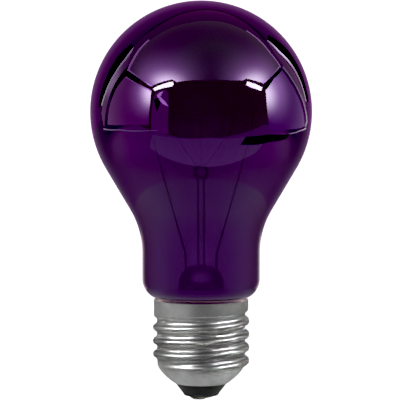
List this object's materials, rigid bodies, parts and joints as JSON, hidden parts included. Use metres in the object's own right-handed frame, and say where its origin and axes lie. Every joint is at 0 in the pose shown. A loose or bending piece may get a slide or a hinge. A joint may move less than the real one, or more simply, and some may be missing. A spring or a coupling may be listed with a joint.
{
  "type": "uv black light bulb",
  "caption": "Pear-shaped incandescent lamp of dark violet glass on a rolled screw cap, with its glass stem, leads and filament inside.",
  "frame": {"origin": "on the axis of the lamp, at the flat foot of the solder pip that touches the socket", "axes": "+Z along the axis from the contact up to the glass; -Y faces the picture's camera; the rim solder is at +Y"},
  "size_m": [0.06, 0.06, 0.1083],
  "materials": {
    "violet_glass": "gloss",
    "stem_glass": "gloss",
    "cap_metal": "satin",
    "black_glass": "gloss",
    "brass": "satin",
    "solder": "satin",
    "cement": "matte",
    "copper": "satin",
    "nickel_wire": "satin",
    "filament_wire": "satin"
  },
  "bodies": {
    "root": {"glass_bulb": "violet_glass", "screw_shell": "cap_metal", "base_insulator": "black_glass", "centre_contact": "brass", "centre_solder": "solder", "side_solder": "solder", "capping_cement": "cement", "stem_flare": "stem_glass", "exhaust_tube": "stem_glass", "arbor_rod": "stem_glass", "contact_lead": "copper", "fuse_wire": "copper", "side_lead": "copper", "filament": "filament_wire", "inner_lead_left": "nickel_wire", "inner_lead_right": "nickel_wire", "seal_wire_left": "copper", "seal_wire_right": "copper", "support_wire_left": "nickel_wire", "support_wire_middle": "nickel_wire", "support_wire_right": "nickel_wire"}
  },
  "joints": []
}
